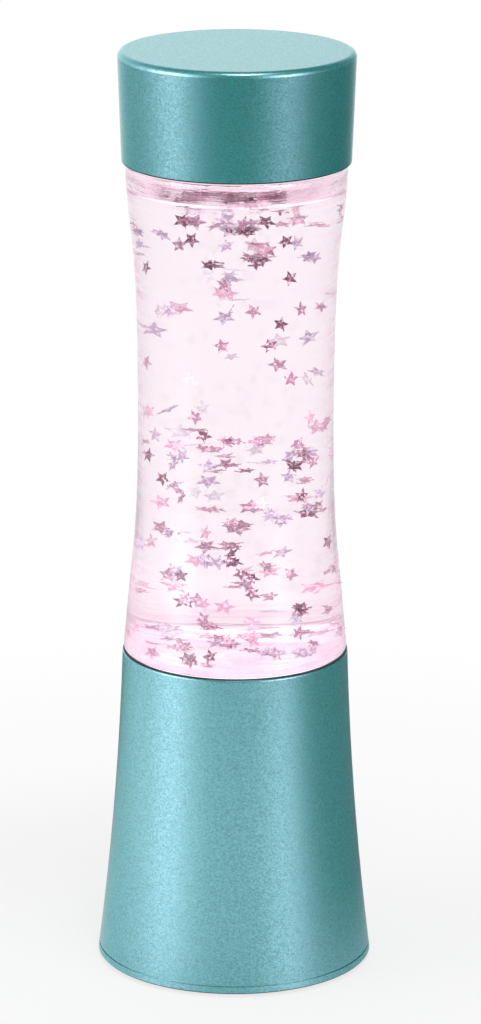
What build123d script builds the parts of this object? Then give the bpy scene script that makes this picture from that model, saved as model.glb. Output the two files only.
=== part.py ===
"""Small battery glitter lamp, in millimetres.

The origin is the middle of the surface that the lamp stands on, and +Z is up.
A teal cap and a flared teal base hold a waisted clear bottle of liquid with floating stars.
The base holds the lights, three upright cells, a slide switch and a door for the cells.
"""

import math
import os
import random

from build123d import *

# Overall sizes
total_height = 190.0
base_height = 66.0
cap_height = 22.4
foot_stand = 0.6

# Base housing. The flank is a point of its side, as shares of the flare and of the height there.
base_rim_radius = 23.05
base_foot_radius = 28.25
base_flank_shares = (0.394, 0.45)
base_wall = 1.8
base_rim_wall = 1.2
base_rim_round = 0.5
base_foot_chamfer = 0.3
base_groove_rise = 1.5
base_groove_width = 0.3
base_groove_depth = 0.25
shelf_depth = 5.0
shelf_thickness = 2.0

# Bottle
bottle_foot_step = 0.2
bottle_waist_radius = 19.8
bottle_head_step = 0.7
bottle_waist_height = 117.0
bottle_wall = 2.0
bottle_floor = 2.2
bottle_foot_round = 0.6
bottle_head_round = 0.8
bottle_seam = 0.2
shoulder_ledge = 1.7
shoulder_rise = 4.0
neck_radius = 16.0
neck_height = 9.6
air_gap = 5.2

# Cap
cap_top_radius = 23.9
cap_lip_radius = 23.05
cap_wall = 1.6
cap_top_round = 1.2
cap_lip_round = 0.4

# Fits and shared clearances
seat_clearance = 0.15
press_clearance = 0.02
running_clearance = 0.05
moving_clearance = 0.3
overrun = 1.0
edge_match = 0.01

# Heights that the pieces share
rim_top = base_height
shelf_top = rim_top - shelf_depth
shelf_bottom = shelf_top - shelf_thickness
cap_bottom = total_height - cap_height
bottle_foot = rim_top + bottle_seam
bottle_head = cap_bottom - bottle_seam
liquid_level = cap_bottom - air_gap

# Radii that the pieces share
bottle_foot_radius = base_rim_radius - bottle_foot_step
bottle_head_radius = cap_lip_radius - bottle_head_step
socket_radius = base_rim_radius - base_rim_wall
spigot_radius = socket_radius - seat_clearance
plate_radius = base_foot_radius - base_wall - seat_clearance
base_flank_radius = base_rim_radius + (base_foot_radius - base_rim_radius) * base_flank_shares[0]
base_flank_height = foot_stand + (rim_top - foot_stand) * base_flank_shares[1]

# Cells, of AAA size here, in a round holder. The base's floor gives their radius, and the height
# that is left between the door and the lights gives their length.
cell_count = 3
cell_radius_share = 0.1996
cell_nub_radius = 1.9
cell_nub_length = 0.8
bore_clearance = 0.25
bore_web = 1.47
box_wall = 1.3
flange_width = 4.4
cell_radius = plate_radius * cell_radius_share
bore_radius = cell_radius + bore_clearance
cell_circle_radius = (bore_radius + bore_web / 2) / math.sin(math.pi / cell_count)
box_radius = cell_circle_radius + bore_radius + box_wall
flange_radius = box_radius + flange_width


def upright(radius, bottom, top, x=0, y=0):
    """Upright cylinder between two heights."""
    rod = Cylinder(radius, top - bottom, align=(Align.CENTER, Align.CENTER, Align.MIN))
    return Pos(x, y, bottom) * rod


def slab(width, depth, bottom, top, x=0, y=0):
    """Upright block between two heights."""
    block = Box(width, depth, top - bottom, align=(Align.CENTER, Align.CENTER, Align.MIN))
    return Pos(x, y, bottom) * block


def ring(outer, inner, bottom, top, x=0, y=0):
    """Upright tube between two heights."""
    hole = upright(inner, bottom - overrun, top + overrun, x, y)
    return upright(outer, bottom, top, x, y) - hole


def turned(*lines):
    """Solid of revolution from the lines of a half profile, radius across and height up."""
    return revolve(Plane.XZ * make_face(lines), Axis.Z)


def on_circle(radius, angle):
    """Point at an angle in degrees on a circle round the lamp's axis."""
    return radius * math.cos(math.radians(angle)), radius * math.sin(math.radians(angle))


def rim_edges(solid, radius, height):
    """Circular edges of one radius at one height, round the lamp's axis."""
    rims = solid.edges().filter_by(GeomType.CIRCLE)
    rims = [e for e in rims if abs(e.radius - radius) < edge_match]
    return [e for e in rims if abs(e.arc_center.Z - height) < edge_match]


# Fine groove round the base's foot
groove_bottom = foot_stand + base_groove_rise
groove_top = groove_bottom + base_groove_width

# Floor of the base
plate_recess = 0.3
plate_thickness = 2.4
plate_bottom = foot_stand + plate_recess
plate_top = plate_bottom + plate_thickness

# Screw posts of the base housing
base_post_radius = 2.6
base_post_gap = 0.4
base_post_height = 22.7
base_rib_width = 1.6
base_post_circle = flange_radius + base_post_gap + base_post_radius
base_post_top = plate_top + base_post_height

# Circuit board and its two posts, and the window above it
board_margin = 3.5
board_screw_inset = 2.1
board_post_radius = 2.2
window_gap = 0.2
window_ledge = 1.5
window_thickness = 0.8
board_radius = box_radius + board_margin
board_screw_circle = board_radius - board_screw_inset
window_opening_radius = board_screw_circle - board_post_radius - window_gap
window_radius = window_opening_radius + window_ledge

# Screws
screw_radius = 1.1
screw_head_radius = 2.1
screw_head_height = 1.0
screw_recess_width = 0.5
screw_recess_length = 2.2
screw_recess_depth = 0.6
screw_tip = 0.4


def base_form(inset):
    """Flared form of the base, with its side drawn in by an inset."""
    start = (base_foot_radius - inset, foot_stand)
    middle = (base_flank_radius - inset, base_flank_height)
    end = (base_rim_radius - inset, rim_top)
    return turned(
        Spline(start, middle, end),
        Polyline(end, (0, rim_top), (0, foot_stand), start),
    )


def base_posts():
    """Two screw posts, each joined to the housing's wall by a rib."""
    posts = []
    for side in (-1, 1):
        x = side * base_post_circle
        rib_middle = side * (base_post_circle + base_foot_radius) / 2
        rib_length = base_foot_radius - base_post_circle
        posts.append(upright(base_post_radius, plate_top, base_post_top, x))
        posts.append(slab(rib_length, base_rib_width, plate_top, base_post_top, rib_middle))
    return Part() + posts


plate_screw_length = 10.0
window_bottom = shelf_top - window_thickness


def make_base_shell():
    """Flared housing with a socket for the bottle, a shelf with a window and two screw posts."""
    outer = base_form(0)
    outer = fillet(rim_edges(outer, base_rim_radius, rim_top), base_rim_round)
    outer = chamfer(rim_edges(outer, base_foot_radius, foot_stand), base_foot_chamfer)
    outer -= upright(base_foot_radius + overrun, groove_bottom, groove_top) - base_form(base_groove_depth)
    cavity = base_form(base_wall) & upright(base_foot_radius, foot_stand, shelf_bottom)
    shell = outer - cavity - upright(socket_radius, shelf_top, rim_top + overrun)
    shell -= upright(window_opening_radius, shelf_bottom - overrun, shelf_top + overrun)
    shell -= upright(window_radius + seat_clearance, window_bottom, shelf_top + overrun)
    shell += base_posts() & base_form(base_wall / 2)
    for side in (-1, 1):
        x = side * base_post_circle
        bore_top = plate_bottom + plate_screw_length + overrun
        shell -= upright(screw_radius + press_clearance, plate_top - overrun, bore_top, x)
    return shell


def make_diffuser_window():
    """Frosted disc let into the shelf, under the bottle's floor."""
    return upright(window_radius, window_bottom, shelf_top)


# The bottle's side. Each point gives the share of the way up from foot to waist, or from waist to
# head, and the share of the flare that is left there.
foot_side_shares = ((0, 1), (0.27, 0.58), (0.47, 0.26), (0.66, 0.085), (0.86, 0.012))
head_side_shares = ((0.26, 0.045), (0.45, 0.15), (0.65, 0.385), (0.85, 0.82), (1, 1))


def side_points(inset):
    """Points up the bottle's side from foot to head, drawn in by an inset."""
    low_rise = bottle_waist_height - bottle_foot
    high_rise = bottle_head - bottle_waist_height
    low_flare = bottle_foot_radius - bottle_waist_radius
    high_flare = bottle_head_radius - bottle_waist_radius
    waist = bottle_waist_radius - inset
    low = [(waist + low_flare * flare, bottle_foot + low_rise * rise)
           for rise, flare in foot_side_shares]
    high = [(waist + high_flare * flare, bottle_waist_height + high_rise * rise)
            for rise, flare in head_side_shares]
    return low + [(waist, bottle_waist_height)] + high


def bottle_cavity():
    """Inside of the bottle, from its floor to the top of its barrel."""
    points = side_points(bottle_wall)
    foot, head = points[0], points[-1]
    barrel = turned(
        Spline(points),
        Polyline(head, (0, head[1]), (0, foot[1]), foot),
    )
    ceiling = bottle_head - bottle_wall
    barrel &= upright(bottle_foot_radius, bottle_foot + bottle_wall, ceiling)
    well_radius = spigot_radius - bottle_wall
    cavity = barrel + upright(well_radius, shelf_top + bottle_floor, bottle_foot + bottle_wall + overrun)
    return cavity


neck_top = bottle_head + shoulder_rise + neck_height
neck_bore_radius = neck_radius - bottle_wall


def make_bottle():
    """Waisted bottle: a spigot that stands on the base's shelf, the barrel, a shoulder and a neck."""
    points = side_points(0)
    foot, head = points[0], points[-1]
    ledge_radius = bottle_head_radius - shoulder_ledge
    neck_foot = bottle_head + shoulder_rise
    solid = turned(
        Polyline((0, shelf_top), (spigot_radius, shelf_top), (spigot_radius, bottle_foot), foot),
        Spline(points),
        Polyline(head, (ledge_radius, bottle_head), (neck_radius, neck_foot), (neck_radius, neck_top),
                 (0, neck_top), (0, shelf_top)),
    )
    solid = fillet(rim_edges(solid, bottle_foot_radius, bottle_foot), bottle_foot_round)
    solid = fillet(rim_edges(solid, bottle_head_radius, bottle_head), bottle_head_round)
    ceiling = bottle_head - bottle_wall
    hollow_edge = ledge_radius - bottle_wall
    shoulder = turned(Polyline(
        (0, ceiling - overrun), (hollow_edge, ceiling - overrun), (hollow_edge, ceiling),
        (neck_bore_radius, neck_foot - bottle_wall), (neck_bore_radius, neck_top + overrun),
        (0, neck_top + overrun), (0, ceiling - overrun)))
    return solid - bottle_cavity() - shoulder


# Stopper in the neck
stopper_plug_depth = 7.0
stopper_flange = 1.8
stopper_wall = 2.0
seal_thickness = 0.8
stopper_flange_bottom = neck_top + seal_thickness
stopper_flange_radius = neck_radius - seat_clearance


def make_bottle_stopper():
    """Hollow plug with a flange, which closes the neck."""
    plug_radius = neck_bore_radius - running_clearance
    plug = upright(plug_radius, neck_top - stopper_plug_depth, stopper_flange_bottom)
    flange_top = stopper_flange_bottom + stopper_flange
    stopper = plug + upright(stopper_flange_radius, stopper_flange_bottom, flange_top)
    hollow = upright(plug_radius - stopper_wall, neck_top - stopper_plug_depth - overrun, neck_top)
    return stopper - hollow


def make_stopper_seal():
    """Flat rubber ring between the neck's rim and the stopper's flange."""
    return ring(stopper_flange_radius, neck_bore_radius, neck_top, stopper_flange_bottom)


# Collar in the cap
collar_bottom_gap = 1.2
collar_height = 6.0


def cap_radius(height):
    """Outer radius of the cap's tapered side at a height."""
    share = (height - cap_bottom) / cap_height
    return cap_lip_radius + (cap_top_radius - cap_lip_radius) * share


def make_cap_shell():
    """Tapered cup with a rounded top edge and a rounded lip, which hides the bottle's neck."""
    cup = turned(Polyline(
        (0, cap_bottom), (cap_lip_radius, cap_bottom), (cap_top_radius, total_height), (0, total_height),
        (0, cap_bottom)))
    cup = fillet(rim_edges(cup, cap_top_radius, total_height), cap_top_round)
    cup = fillet(rim_edges(cup, cap_lip_radius, cap_bottom), cap_lip_round)
    roof = total_height - cap_wall
    mouth = cap_bottom - overrun
    hollow = turned(Polyline(
        (0, mouth), (cap_radius(mouth) - cap_wall, mouth), (cap_radius(roof) - cap_wall, roof), (0, roof),
        (0, mouth)))
    return cup - hollow


def make_cap_insert():
    """Collar bonded inside the cap, a push fit over the bottle's neck."""
    bottom = bottle_head + shoulder_rise + collar_bottom_gap
    top = bottom + collar_height
    bore = neck_radius + press_clearance
    return turned(Polyline(
        (bore, bottom), (cap_radius(bottom) - cap_wall, bottom), (cap_radius(top) - cap_wall, top),
        (bore, top), (bore, bottom)))


# Floating stars. Each band of liquid has its lowest and highest place as shares of the depth, its
# reach from the axis as a share of the free radius, and its number of stars.
star_radius = 1.75
star_waist_radius = 0.78
star_thickness = 0.16
star_points = 5
star_gap = 0.3
star_seed = 41
star_tries = 60
star_bands = (
    {"depth_shares": (0.965, 1.0), "reach_share": 0.95, "count": 30},
    {"depth_shares": (0.8, 0.95), "reach_share": 0.45, "count": 16},
    {"depth_shares": (0.55, 0.8), "reach_share": 1.0, "count": 24},
    {"depth_shares": (0.36, 0.55), "reach_share": 1.0, "count": 38},
    {"depth_shares": (0.12, 0.36), "reach_share": 1.0, "count": 30},
    {"depth_shares": (0.0, 0.12), "reach_share": 1.0, "count": 12},
)
star_colours = ("plum", "mauve", "silver", "pink", "white")
star_colour_weights = (9, 7, 5, 3, 3)


def free_radius(height):
    """Radius that a star's centre may reach at a height, inside the bottle's wall."""
    points = side_points(bottle_wall + star_radius + star_gap)
    for (low_radius, low), (high_radius, high) in zip(points, points[1:]):
        if height <= high:
            return low_radius + (high_radius - low_radius) * (height - low) / (high - low)
    return points[-1][0]


def make_star():
    """Flat five-point star, centred on the origin."""
    corners = []
    for step in range(2 * star_points):
        radius = star_waist_radius if step % 2 else star_radius
        corners.append(on_circle(radius, 180 * step / star_points))
    star = extrude(make_face(Polyline(*corners, close=True)), star_thickness / 2, both=True)
    return star.solid()


def place_stars():
    """Stars by colour, drawn at random in each band and kept only where no two can touch."""
    draw = random.Random(star_seed)
    star = make_star()
    lowest = bottle_foot + bottle_wall + star_radius + star_gap
    highest = liquid_level - star_radius - star_gap
    least_apart = 2 * star_radius + star_gap
    centres = []
    stars = {colour: [] for colour in star_colours}
    for band in star_bands:
        low_share, high_share = band["depth_shares"]
        left = band["count"]
        for _ in range(band["count"] * star_tries):
            if not left:
                break
            z = lowest + (highest - lowest) * draw.uniform(low_share, high_share)
            reach = free_radius(z) * band["reach_share"]
            x, y = on_circle(reach * math.sqrt(draw.random()), draw.uniform(0, 360))
            turn = (draw.uniform(0, 360), draw.uniform(0, 360), draw.uniform(0, 360))
            colour = draw.choices(star_colours, star_colour_weights)[0]
            if all(math.dist((x, y, z), centre) > least_apart for centre in centres):
                centres.append((x, y, z))
                stars[colour].append(star.moved(Location((x, y, z), turn)))
                left -= 1
    return stars


def make_liquid():
    """Liquid that fills the bottle up to its level."""
    return bottle_cavity() & upright(bottle_foot_radius, shelf_top, liquid_level)


# Light unit
board_thickness = 1.2
board_drop = 2.4
board_screw_length = 4.0
led_count = 3
led_circle_radius = 6.0
led_flange_radius = 1.9
led_flange_height = 0.6
led_radius = 1.5
led_height = 3.0
board_screw_angles = (0, 180)
board_top = shelf_bottom - board_drop
board_bottom = board_top - board_thickness
board_screw_places = [on_circle(board_screw_circle, angle) for angle in board_screw_angles]


def make_board_posts():
    """Two short posts under the shelf that carry the board."""
    posts = []
    for x, y in board_screw_places:
        posts.append(ring(board_post_radius, screw_radius + press_clearance, board_top, shelf_bottom, x, y))
    return posts


def make_led_board():
    """Round circuit board, screwed up against the two posts."""
    board = upright(board_radius, board_bottom, board_top)
    for x, y in board_screw_places:
        board -= upright(screw_radius + running_clearance, board_bottom - overrun, board_top + overrun, x, y)
    return board


def make_leds():
    """Domed lights on the board."""
    dome_base = board_top + led_height - led_radius
    lights = []
    for index in range(led_count):
        x, y = on_circle(led_circle_radius, 90 + 360 * index / led_count)
        light = upright(led_flange_radius, board_top, board_top + led_flange_height, x, y)
        light += upright(led_radius, board_top, dome_base, x, y)
        light += Pos(x, y, dome_base) * Sphere(led_radius)
        lights.append(light.solid())
    return lights


# Small parts soldered to the board, on a circle inside its edge
parts_inset = 7.0
parts_circle_radius = board_radius - parts_inset
chip_size = (4.0, 3.0, 1.1)
chip_angle = 270
resistor_size = (2.0, 1.25, 0.5)
resistor_spacing = 3.6
capacitor_radius = 1.5
capacitor_height = 2.0
capacitor_angle = 223


def make_board_parts():
    """Control chip, one resistor for each light and a capacitor."""
    width, depth, height = chip_size
    chip_place = on_circle(parts_circle_radius, chip_angle)
    parts = [slab(width, depth, board_top, board_top + height, *chip_place)]
    width, depth, height = resistor_size
    for index in range(led_count):
        x = resistor_spacing * (index - (led_count - 1) / 2)
        parts.append(slab(width, depth, board_top, board_top + height, x, parts_circle_radius))
    capacitor_place = on_circle(parts_circle_radius, capacitor_angle)
    parts.append(upright(capacitor_radius, board_top, board_top + capacitor_height, *capacitor_place))
    return parts


def screw(length, countersunk):
    """Screw with its head's face at the origin and its shank up, with a cross recess."""
    head = [(screw_head_radius, 0)]
    if not countersunk:
        head.append((screw_head_radius, screw_head_height))
    body = turned(Polyline(
        (0, 0), *head, (screw_radius, screw_head_height), (screw_radius, length - screw_tip),
        (screw_radius - screw_tip, length), (0, length), (0, 0)))
    for turn in (0, 90):
        recess = slab(screw_recess_length, screw_recess_width, -overrun, screw_recess_depth)
        body -= Rot(0, 0, turn) * recess
    return body.solid()


def countersink(x, y, face):
    """Cone and through hole for a countersunk screw whose head lies flush with a face below."""
    head = screw_head_radius + running_clearance
    shank = screw_radius + running_clearance
    cut = turned(Polyline(
        (0, -overrun), (head, -overrun), (head, 0), (shank, screw_head_height),
        (shank, plate_thickness + overrun), (0, plate_thickness + overrun), (0, -overrun)))
    return Pos(x, y, face) * cut


def make_board_screws():
    """Two screws with their heads under the board."""
    face = board_bottom - screw_head_height
    return [Pos(x, y, face) * screw(board_screw_length, False) for x, y in board_screw_places]


# Cell holder
contact_thickness = 0.4
contact_width = 6.0
spring_length = 4.0
box_roof = 1.6
box_top_gap = 1.2
flange_thickness = 1.6
box_screw_length = 3.2
box_screw_angles = (30, 150)
mouth_clearance = 0.7

door_contact_top = plate_top + contact_thickness
roof_top = board_bottom - box_top_gap
roof_bottom = roof_top - box_roof
cells_top = roof_bottom - contact_thickness
cell_can_length = cells_top - door_contact_top - cell_nub_length - spring_length
cell_angles = [90 + 360 * index / cell_count for index in range(cell_count)]
cell_places = [on_circle(cell_circle_radius, angle) for angle in cell_angles]
cells_nub_up = (True, False, True)

# Door over the cells
door_opening_gap = 0.75
door_lip = 1.7
door_thickness = 1.5
door_lug_radius = 3.2
door_screw_length = 7.0
door_post_radius = 2.6
door_post_height = 5.8
door_post_gap = 1.0
door_opening_radius = cell_circle_radius + cell_radius + door_opening_gap
door_lug_place = (0.0, -(box_radius + door_post_gap + door_post_radius))
door_top = plate_bottom + door_thickness

# Slide switch
switch_body_size = (9.0, 4.6, 4.0)
switch_gap = 0.1
switch_place = (0.0, flange_radius + switch_gap + switch_body_size[1] / 2)
switch_cavity_height = 2.1
switch_travel = 3.0
slider_stem_size = (2.4, 2.0)
slider_foot_size = (3.2, 3.0, 1.4)
slider_proud = 0.5
slider_groove_width = 0.3
slider_groove_depth = 0.25
slider_groove_shares = (-0.28, 0, 0.28)
terminal_size = (0.9, 0.5, 2.0)
terminal_spacing = 2.6

# Side strip, which meets the door's first contact plate
strip_width = 3.0
strip_height = 9.0
strip_foot = 2.2
strip_clearance = 0.25


def contact_plate(first, second, bottom):
    """Contact plate with round ends between two places."""
    middle_x = (first[0] + second[0]) / 2
    middle_y = (first[1] + second[1]) / 2
    length = math.dist(first, second)
    turn = math.degrees(math.atan2(second[1] - first[1], second[0] - first[0]))
    top = bottom + contact_thickness
    plate = slab(length, contact_width, bottom, top) if length > edge_match else Part()
    for end in (-length / 2, length / 2):
        plate += upright(contact_width / 2, bottom, top, end)
    return (Pos(middle_x, middle_y) * Rot(0, 0, turn) * plate).solid()


roof_tail_place = on_circle(box_radius - contact_width / 2 + box_wall, cell_angles[2])


def make_roof_contacts():
    """Plates under the holder's roof: one joins two cells, one leads out to the board."""
    bottom = cells_top
    joining = contact_plate(cell_places[0], cell_places[1], bottom)
    leading = contact_plate(cell_places[2], roof_tail_place, bottom)
    return [joining, leading]


def make_side_strip():
    """Bent strip that carries the current from the door's first plate to the switch's lead."""
    bottom = door_contact_top
    outside = box_radius + contact_thickness
    foot_length = strip_foot + contact_thickness
    foot_middle = outside - foot_length / 2
    riser_middle = outside - contact_thickness / 2
    foot = slab(strip_width, foot_length, bottom, bottom + contact_thickness, 0, foot_middle)
    riser = slab(strip_width, contact_thickness, bottom, bottom + strip_height, 0, riser_middle)
    return foot + riser


box_screw_circle = box_radius + screw_head_radius + seat_clearance
box_screw_places = [on_circle(box_screw_circle, angle) for angle in box_screw_angles]


def make_battery_box():
    """Round holder with a bore for each cell, a roof and a flange screwed to the base's floor."""
    box = upright(box_radius, plate_top, roof_top)
    box += upright(flange_radius, plate_top, plate_top + flange_thickness)
    for x, y in cell_places:
        box -= upright(bore_radius, plate_top - overrun, roof_bottom, x, y)
    box -= upright(door_opening_radius, plate_top - overrun, door_contact_top + mouth_clearance)
    for plate in make_roof_contacts():
        box -= plate
    box -= slab(strip_width + 2 * strip_clearance, strip_foot + flange_width, plate_top - overrun,
                door_contact_top + mouth_clearance, 0, box_radius + (flange_width - strip_foot) / 2)
    box -= slab(strip_width + 2 * strip_clearance, flange_width + overrun, plate_top - overrun,
                plate_top + flange_thickness + overrun, 0, box_radius + (flange_width + overrun) / 2)
    post_recess_top = plate_top + door_post_height
    box -= upright(door_post_radius + moving_clearance, plate_top - overrun, post_recess_top, *door_lug_place)
    hole_top = plate_top + flange_thickness + overrun
    for x, y in box_screw_places:
        box -= upright(screw_radius + running_clearance, plate_top - overrun, hole_top, x, y)
    return box.solid()


def make_cells():
    """Three cells, turned end for end by turns."""
    cells = []
    for (x, y), nub_up in zip(cell_places, cells_nub_up):
        bottom = door_contact_top + (spring_length if nub_up else cell_nub_length)
        top = bottom + cell_can_length
        can = upright(cell_radius, bottom, top, x, y)
        nub_bottom = top if nub_up else bottom - cell_nub_length
        can += upright(cell_nub_radius, nub_bottom, nub_bottom + cell_nub_length, x, y)
        cells.append(can.solid())
    return cells


# Springs
spring_radius = 2.6
spring_wire_radius = 0.3
spring_turns = 4


def coil_spring(x, y, bottom):
    """Compression spring of round wire: a helix between two flat ends."""
    rise = spring_length - 2 * spring_wire_radius
    path = Pos(x, y, bottom + spring_wire_radius) * Helix(rise / spring_turns, rise, spring_radius)
    section = Plane(path @ 0, z_dir=path % 0) * Circle(spring_wire_radius)
    return sweep(section, path, is_frenet=True).solid()


def make_roof_spring():
    """Spring between the roof's joining plate and the cell that stands nub down."""
    x, y = cell_places[1]
    return coil_spring(x, y, cells_top - spring_length)


def make_door_springs():
    """Springs on the door's plates, under the cells that stand nub up."""
    return [coil_spring(x, y, door_contact_top)
            for (x, y), nub_up in zip(cell_places, cells_nub_up) if nub_up]


def door_form(clearance, bottom, top):
    """Round door with a lug for its screw, grown by a clearance."""
    round_part = upright(door_opening_radius + door_lip + clearance, bottom, top)
    lug = upright(door_lug_radius + clearance, bottom, top, *door_lug_place)
    reach = -door_lug_place[1]
    neck = slab(2 * (door_lug_radius + clearance), reach, bottom, top, 0, -reach / 2)
    return round_part + lug + neck


def make_battery_door():
    """Door flush with the base's floor, with a plug that enters the opening."""
    door = door_form(0, plate_bottom, door_top)
    door += upright(door_opening_radius - moving_clearance, door_top, plate_top)
    door -= countersink(*door_lug_place, plate_bottom)
    return door.solid()


def make_door_contacts():
    """Plates on the door's plug: one under the first cell, one that joins the other two."""
    lead_end = (0, door_opening_radius - moving_clearance - contact_width / 2)
    first = contact_plate(cell_places[0], lead_end, plate_top)
    joining = contact_plate(cell_places[1], cell_places[2], plate_top)
    return [first, joining]


def make_door_screw():
    """Screw through the door's lug."""
    return Pos(*door_lug_place, plate_bottom) * screw(door_screw_length, True)


# Feet
pad_radius = 3.0
pad_margin = 1.9
pad_sunk = 0.6
pad_round = 0.3
pad_count = 4
pad_circle_radius = plate_radius - pad_margin - pad_radius
pad_angles = [360 * (index + 0.5) / pad_count for index in range(pad_count)]
pad_places = [on_circle(pad_circle_radius, angle) for angle in pad_angles]
plate_screw_places = [(-base_post_circle, 0), (base_post_circle, 0)]


def make_base_plate():
    """Floor of the base, with the door's opening, the switch's slot and seats for screws and feet."""
    plate = base_form(base_wall + seat_clearance) & upright(base_foot_radius, plate_bottom, plate_top)
    x, y = door_lug_place
    post_top = plate_top + door_post_height
    plate += upright(door_post_radius, plate_top, post_top, x, y)
    plate -= upright(screw_radius + running_clearance, door_top - overrun, post_top - overrun, x, y)
    plate -= door_form(moving_clearance, plate_bottom - overrun, door_top)
    plate -= upright(door_opening_radius, plate_bottom - overrun, plate_top + overrun)
    for x, y in plate_screw_places:
        plate -= countersink(x, y, plate_bottom)
    for x, y in box_screw_places:
        plate -= upright(screw_radius + press_clearance, plate_top - box_screw_length + flange_thickness,
                         plate_top + overrun, x, y)
    for x, y in pad_places:
        plate -= upright(pad_radius + seat_clearance, plate_bottom - overrun, plate_bottom + pad_sunk, x, y)
    stem_width, stem_depth = slider_stem_size
    slot_width = stem_width + switch_travel + 2 * seat_clearance
    plate -= slab(slot_width, stem_depth + 2 * seat_clearance, plate_bottom - overrun, plate_top + overrun,
                  *switch_place)
    return plate


def make_rubber_feet():
    """Four round pads, stuck into seats in the floor of the base."""
    pads = []
    for x, y in pad_places:
        pad = upright(pad_radius, 0, plate_bottom + pad_sunk, x, y)
        rim = [e for e in pad.edges().filter_by(GeomType.CIRCLE) if e.arc_center.Z < edge_match]
        pads.append(fillet(rim, pad_round).solid())
    return pads


def make_plate_screws():
    """Two screws that hold the base's floor to the housing's posts."""
    return [Pos(x, y, plate_bottom) * screw(plate_screw_length, True) for x, y in plate_screw_places]


def make_box_screws():
    """Two screws that hold the cell holder's flange to the base's floor."""
    face = plate_top + flange_thickness + screw_head_height
    flip = Rot(180, 0, 0)
    return [Pos(x, y, face) * flip * screw(box_screw_length, False) for x, y in box_screw_places]


def make_switch_body():
    """Switch case on the base's floor, open below, with two terminals on top."""
    x, y = switch_place
    width, depth, height = switch_body_size
    foot_width, foot_depth = slider_foot_size[:2]
    case = slab(width, depth, plate_top, plate_top + height, x, y)
    case -= slab(foot_width + switch_travel + 2 * seat_clearance, foot_depth + 2 * seat_clearance,
                 plate_top - overrun, plate_top + switch_cavity_height, x, y)
    pin_width, pin_depth, pin_height = terminal_size
    for side in (-1, 1):
        case += slab(pin_width, pin_depth, plate_top + height, plate_top + height + pin_height,
                     x + side * terminal_spacing / 2, y)
    return case


def make_switch_slider():
    """Slider with a foot inside the case and a grooved thumb piece under the floor, at ON."""
    x, y = switch_place
    x -= switch_travel / 2
    foot_width, foot_depth, foot_height = slider_foot_size
    stem_width, stem_depth = slider_stem_size
    bottom = plate_bottom - slider_proud
    foot_bottom = plate_top + running_clearance
    slider = slab(stem_width, stem_depth, bottom, foot_bottom + foot_height, x, y)
    slider += slab(foot_width, foot_depth, foot_bottom, foot_bottom + foot_height, x, y)
    groove_top = bottom + slider_groove_depth
    for share in slider_groove_shares:
        groove_x = x + stem_width * share
        slider -= slab(slider_groove_width, stem_depth + overrun, bottom - overrun, groove_top, groove_x, y)
    return slider


# Leads inside the base
wire_radius = 0.5
wire_bend_radius = 6.0
wire_landing_inset = 1.5
wire_rise_share = 0.25
wire_turn_share = 0.5


def tube(points, bend):
    """Round wire along straight runs joined by arcs."""
    path = FilletPolyline(*points, radius=bend) if len(points) > 2 else Line(*points)
    section = Plane(path @ 0, z_dir=path % 0) * Circle(wire_radius)
    return sweep(section, path).solid()


def make_lead_wires():
    """Leads from the side strip to the switch, from the switch to the board, and from the roof's
    leading plate to the board."""
    x, y = switch_place
    pin_width, pin_depth, pin_height = terminal_size
    pin_top = plate_top + switch_body_size[2] + pin_height
    pin_middle = pin_top - pin_height / 2
    left = x - terminal_spacing / 2
    right = x + terminal_spacing / 2
    strip_face = box_radius + contact_thickness
    first = tube([(right, strip_face, pin_middle), (right, y - pin_depth / 2, pin_middle)], wire_bend_radius)
    landing = board_radius - wire_landing_inset
    rise = board_bottom - pin_top
    turn_start = pin_top + rise * wire_rise_share
    turn_end = pin_top + rise * wire_turn_share
    second = tube([(left, y, pin_top), (left, y, turn_start), (left, landing, turn_end),
                   (left, landing, board_bottom)], wire_bend_radius)
    x, y = on_circle(box_radius + wire_radius + seat_clearance, cell_angles[2])
    third = tube([(x, y, roof_bottom), (x, y, board_bottom)], wire_bend_radius)
    return [first, second, third]


def write(name, shape):
    """Write one piece, or a group of separate solids, to its own file."""
    if isinstance(shape, list):
        shape = shape[0] if len(shape) == 1 else Compound(children=shape)
    export_step(shape, f"parts/{name}.step")


def main():
    """Make every piece of the lamp."""
    os.makedirs("parts", exist_ok=True)
    write("base_shell", make_base_shell() + make_board_posts())
    write("diffuser_window", make_diffuser_window())
    write("bottle", make_bottle())
    write("bottle_stopper", make_bottle_stopper())
    write("stopper_seal", make_stopper_seal())
    write("liquid", make_liquid())
    for colour, group in place_stars().items():
        write(f"stars_{colour}", group)
    write("cap_shell", make_cap_shell())
    write("cap_insert", make_cap_insert())
    write("led_board", make_led_board())
    write("leds", make_leds())
    write("board_parts", make_board_parts())
    write("board_screws", make_board_screws())
    write("battery_box", make_battery_box())
    write("box_screws", make_box_screws())
    write("battery_cells", make_cells())
    write("roof_contacts", make_roof_contacts())
    write("roof_spring", make_roof_spring())
    write("side_strip", make_side_strip())
    write("base_plate", make_base_plate())
    write("plate_screws", make_plate_screws())
    write("rubber_feet", make_rubber_feet())
    write("battery_door", make_battery_door())
    write("door_contacts", make_door_contacts())
    write("door_springs", make_door_springs())
    write("door_screw", make_door_screw())
    write("switch_body", make_switch_body())
    write("switch_slider", make_switch_slider())
    write("lead_wires", make_lead_wires())


main()
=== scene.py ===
"""Looks of the glitter lamp, in metres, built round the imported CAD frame."""

import math

import bpy
import numpy as np
from mathutils import Matrix, Vector


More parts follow.
